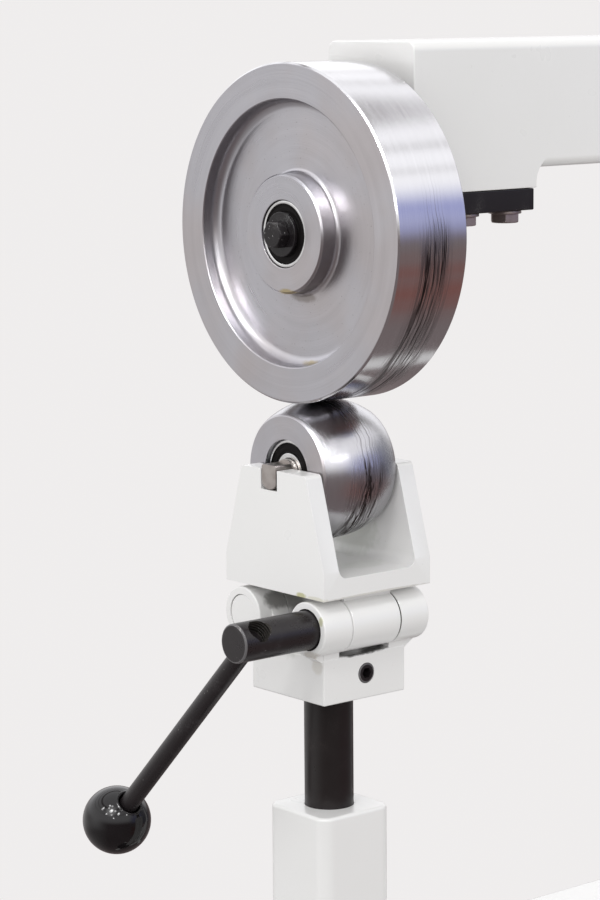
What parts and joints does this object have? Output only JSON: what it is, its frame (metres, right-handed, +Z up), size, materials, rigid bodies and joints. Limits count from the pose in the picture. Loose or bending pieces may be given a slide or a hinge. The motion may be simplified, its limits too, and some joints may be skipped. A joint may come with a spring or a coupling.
{
  "type": "english wheel",
  "caption": "Floor-standing english wheel: a flat upper wheel over a crowned lower wheel in a quick-release yoke with a ball lever, on a kick-wheel screw in a square-tube C-frame.",
  "frame": {"origin": "on the floor under the lifting post's axis, which is the middle of the front foot's underside", "axes": "+X along the wheel axles from the wheels towards the rear column, +Y to the machine's left as seen from the wheels' side, +Z up"},
  "size_m": [0.8135, 0.5286, 1.261],
  "materials": {
    "white_paint": "off-white gloss paint",
    "turned_steel": "turned, satin sides and bright tread",
    "polished_steel": "ground and polished",
    "bearing_steel": "ground",
    "worn_steel": "bare, slightly browned",
    "zinc_plate": "dull zinc plate",
    "black_oxide": "oiled black oxide on steel",
    "black_rubber": "matt",
    "black_plastic": "polished",
    "cap_plastic": "fine grain"
  },
  "bodies": {
    "frame": {"upper_arm": "white_paint", "arm_front_plate": "white_paint", "arm_rear_plate": "white_paint", "arm_nose": "white_paint", "rear_column": "white_paint", "lower_arm": "white_paint", "front_leg": "white_paint", "base_beam": "white_paint", "front_foot": "white_paint", "front_foot_cap_left": "cap_plastic", "front_foot_cap_right": "cap_plastic", "rear_foot": "white_paint", "rear_foot_cap_left": "cap_plastic", "rear_foot_cap_right": "cap_plastic", "front_column": "white_paint", "column_guide": "white_paint", "post_key": "worn_steel", "column_foot_plate": "white_paint", "thrust_race_lower": "bearing_steel", "thrust_cage": "worn_steel", "axle_bracket": "black_oxide", "bracket_bolt_1": "zinc_plate", "bracket_bolt_2": "zinc_plate", "bracket_bolt_3": "zinc_plate", "bracket_bolt_4": "zinc_plate", "upper_axle": "worn_steel", "axle_washer": "black_oxide", "axle_bolt": "black_oxide", "upper_spacer": "worn_steel", "upper_bearing_front_inner_ring": "bearing_steel", "upper_bearing_rear_inner_ring": "bearing_steel"},
    "upper_wheel": {"upper_wheel": "turned_steel", "upper_bearing_front_outer_ring": "bearing_steel", "upper_bearing_front_seal": "black_rubber", "upper_bearing_rear_outer_ring": "bearing_steel", "upper_bearing_rear_seal": "black_rubber"},
    "screw": {"lift_screw": "worn_steel", "thrust_race_upper": "bearing_steel", "screw_collar": "black_oxide", "kick_wheel": "black_oxide", "kick_wheel_nut": "black_oxide"},
    "post": {"post": "black_oxide", "head_block": "white_paint", "head_set_screw": "black_oxide", "hinge_pin": "white_paint"},
    "lever": {"cam_shaft": "black_oxide", "cam_clip": "black_oxide", "lever_rod": "black_oxide", "ball_knob": "black_plastic"},
    "yoke": {"yoke": "white_paint", "anvil_axle": "worn_steel", "anvil_spacer": "worn_steel", "anvil_bearing_front_inner_ring": "bearing_steel", "anvil_bearing_rear_inner_ring": "bearing_steel"},
    "anvil": {"anvil_wheel": "polished_steel", "anvil_bearing_front_outer_ring": "bearing_steel", "anvil_bearing_front_seal": "black_rubber", "anvil_bearing_rear_outer_ring": "bearing_steel", "anvil_bearing_rear_seal": "black_rubber"}
  },
  "joints": [
    {"name": "upper_wheel_spin", "type": "hinge", "parent": "frame", "child": "upper_wheel", "pos_m": [-0.0045, 0, 1.15], "axis": [1, 0, 0], "continuous": true},
    {"name": "screw_turn", "type": "hinge", "parent": "frame", "child": "screw", "pos_m": [0, 0, 0.25], "axis": [0, 0, 1], "range_deg": [0, 6120]},
    {"name": "post_slide", "type": "slide", "parent": "frame", "child": "post", "axis": [0, 0, 1], "range_m": [-0.0681, 0.0001]},
    {"name": "lever_turn", "type": "hinge", "parent": "post", "child": "lever", "pos_m": [-0.0831, -0.0293, 0.91916], "axis": [-1, 0, 0], "range_deg": [0, 135]},
    {"name": "yoke_tilt", "type": "hinge", "parent": "post", "child": "yoke", "pos_m": [0, 0.0313, 0.91916], "axis": [1, 0, 0], "range_deg": [0, 2.1]},
    {"name": "anvil_spin", "type": "hinge", "parent": "yoke", "child": "anvil", "pos_m": [0, 0.004, 1.00726], "axis": [1, 0, 0], "continuous": true}
  ],
  "couplings": [
    {"joint": "post_slide", "follows": "screw_turn", "m_per_rad": -0.00063662},
    {"joint": "yoke_tilt", "follows": "lever_turn", "ratio": 0.015546}
  ]
}
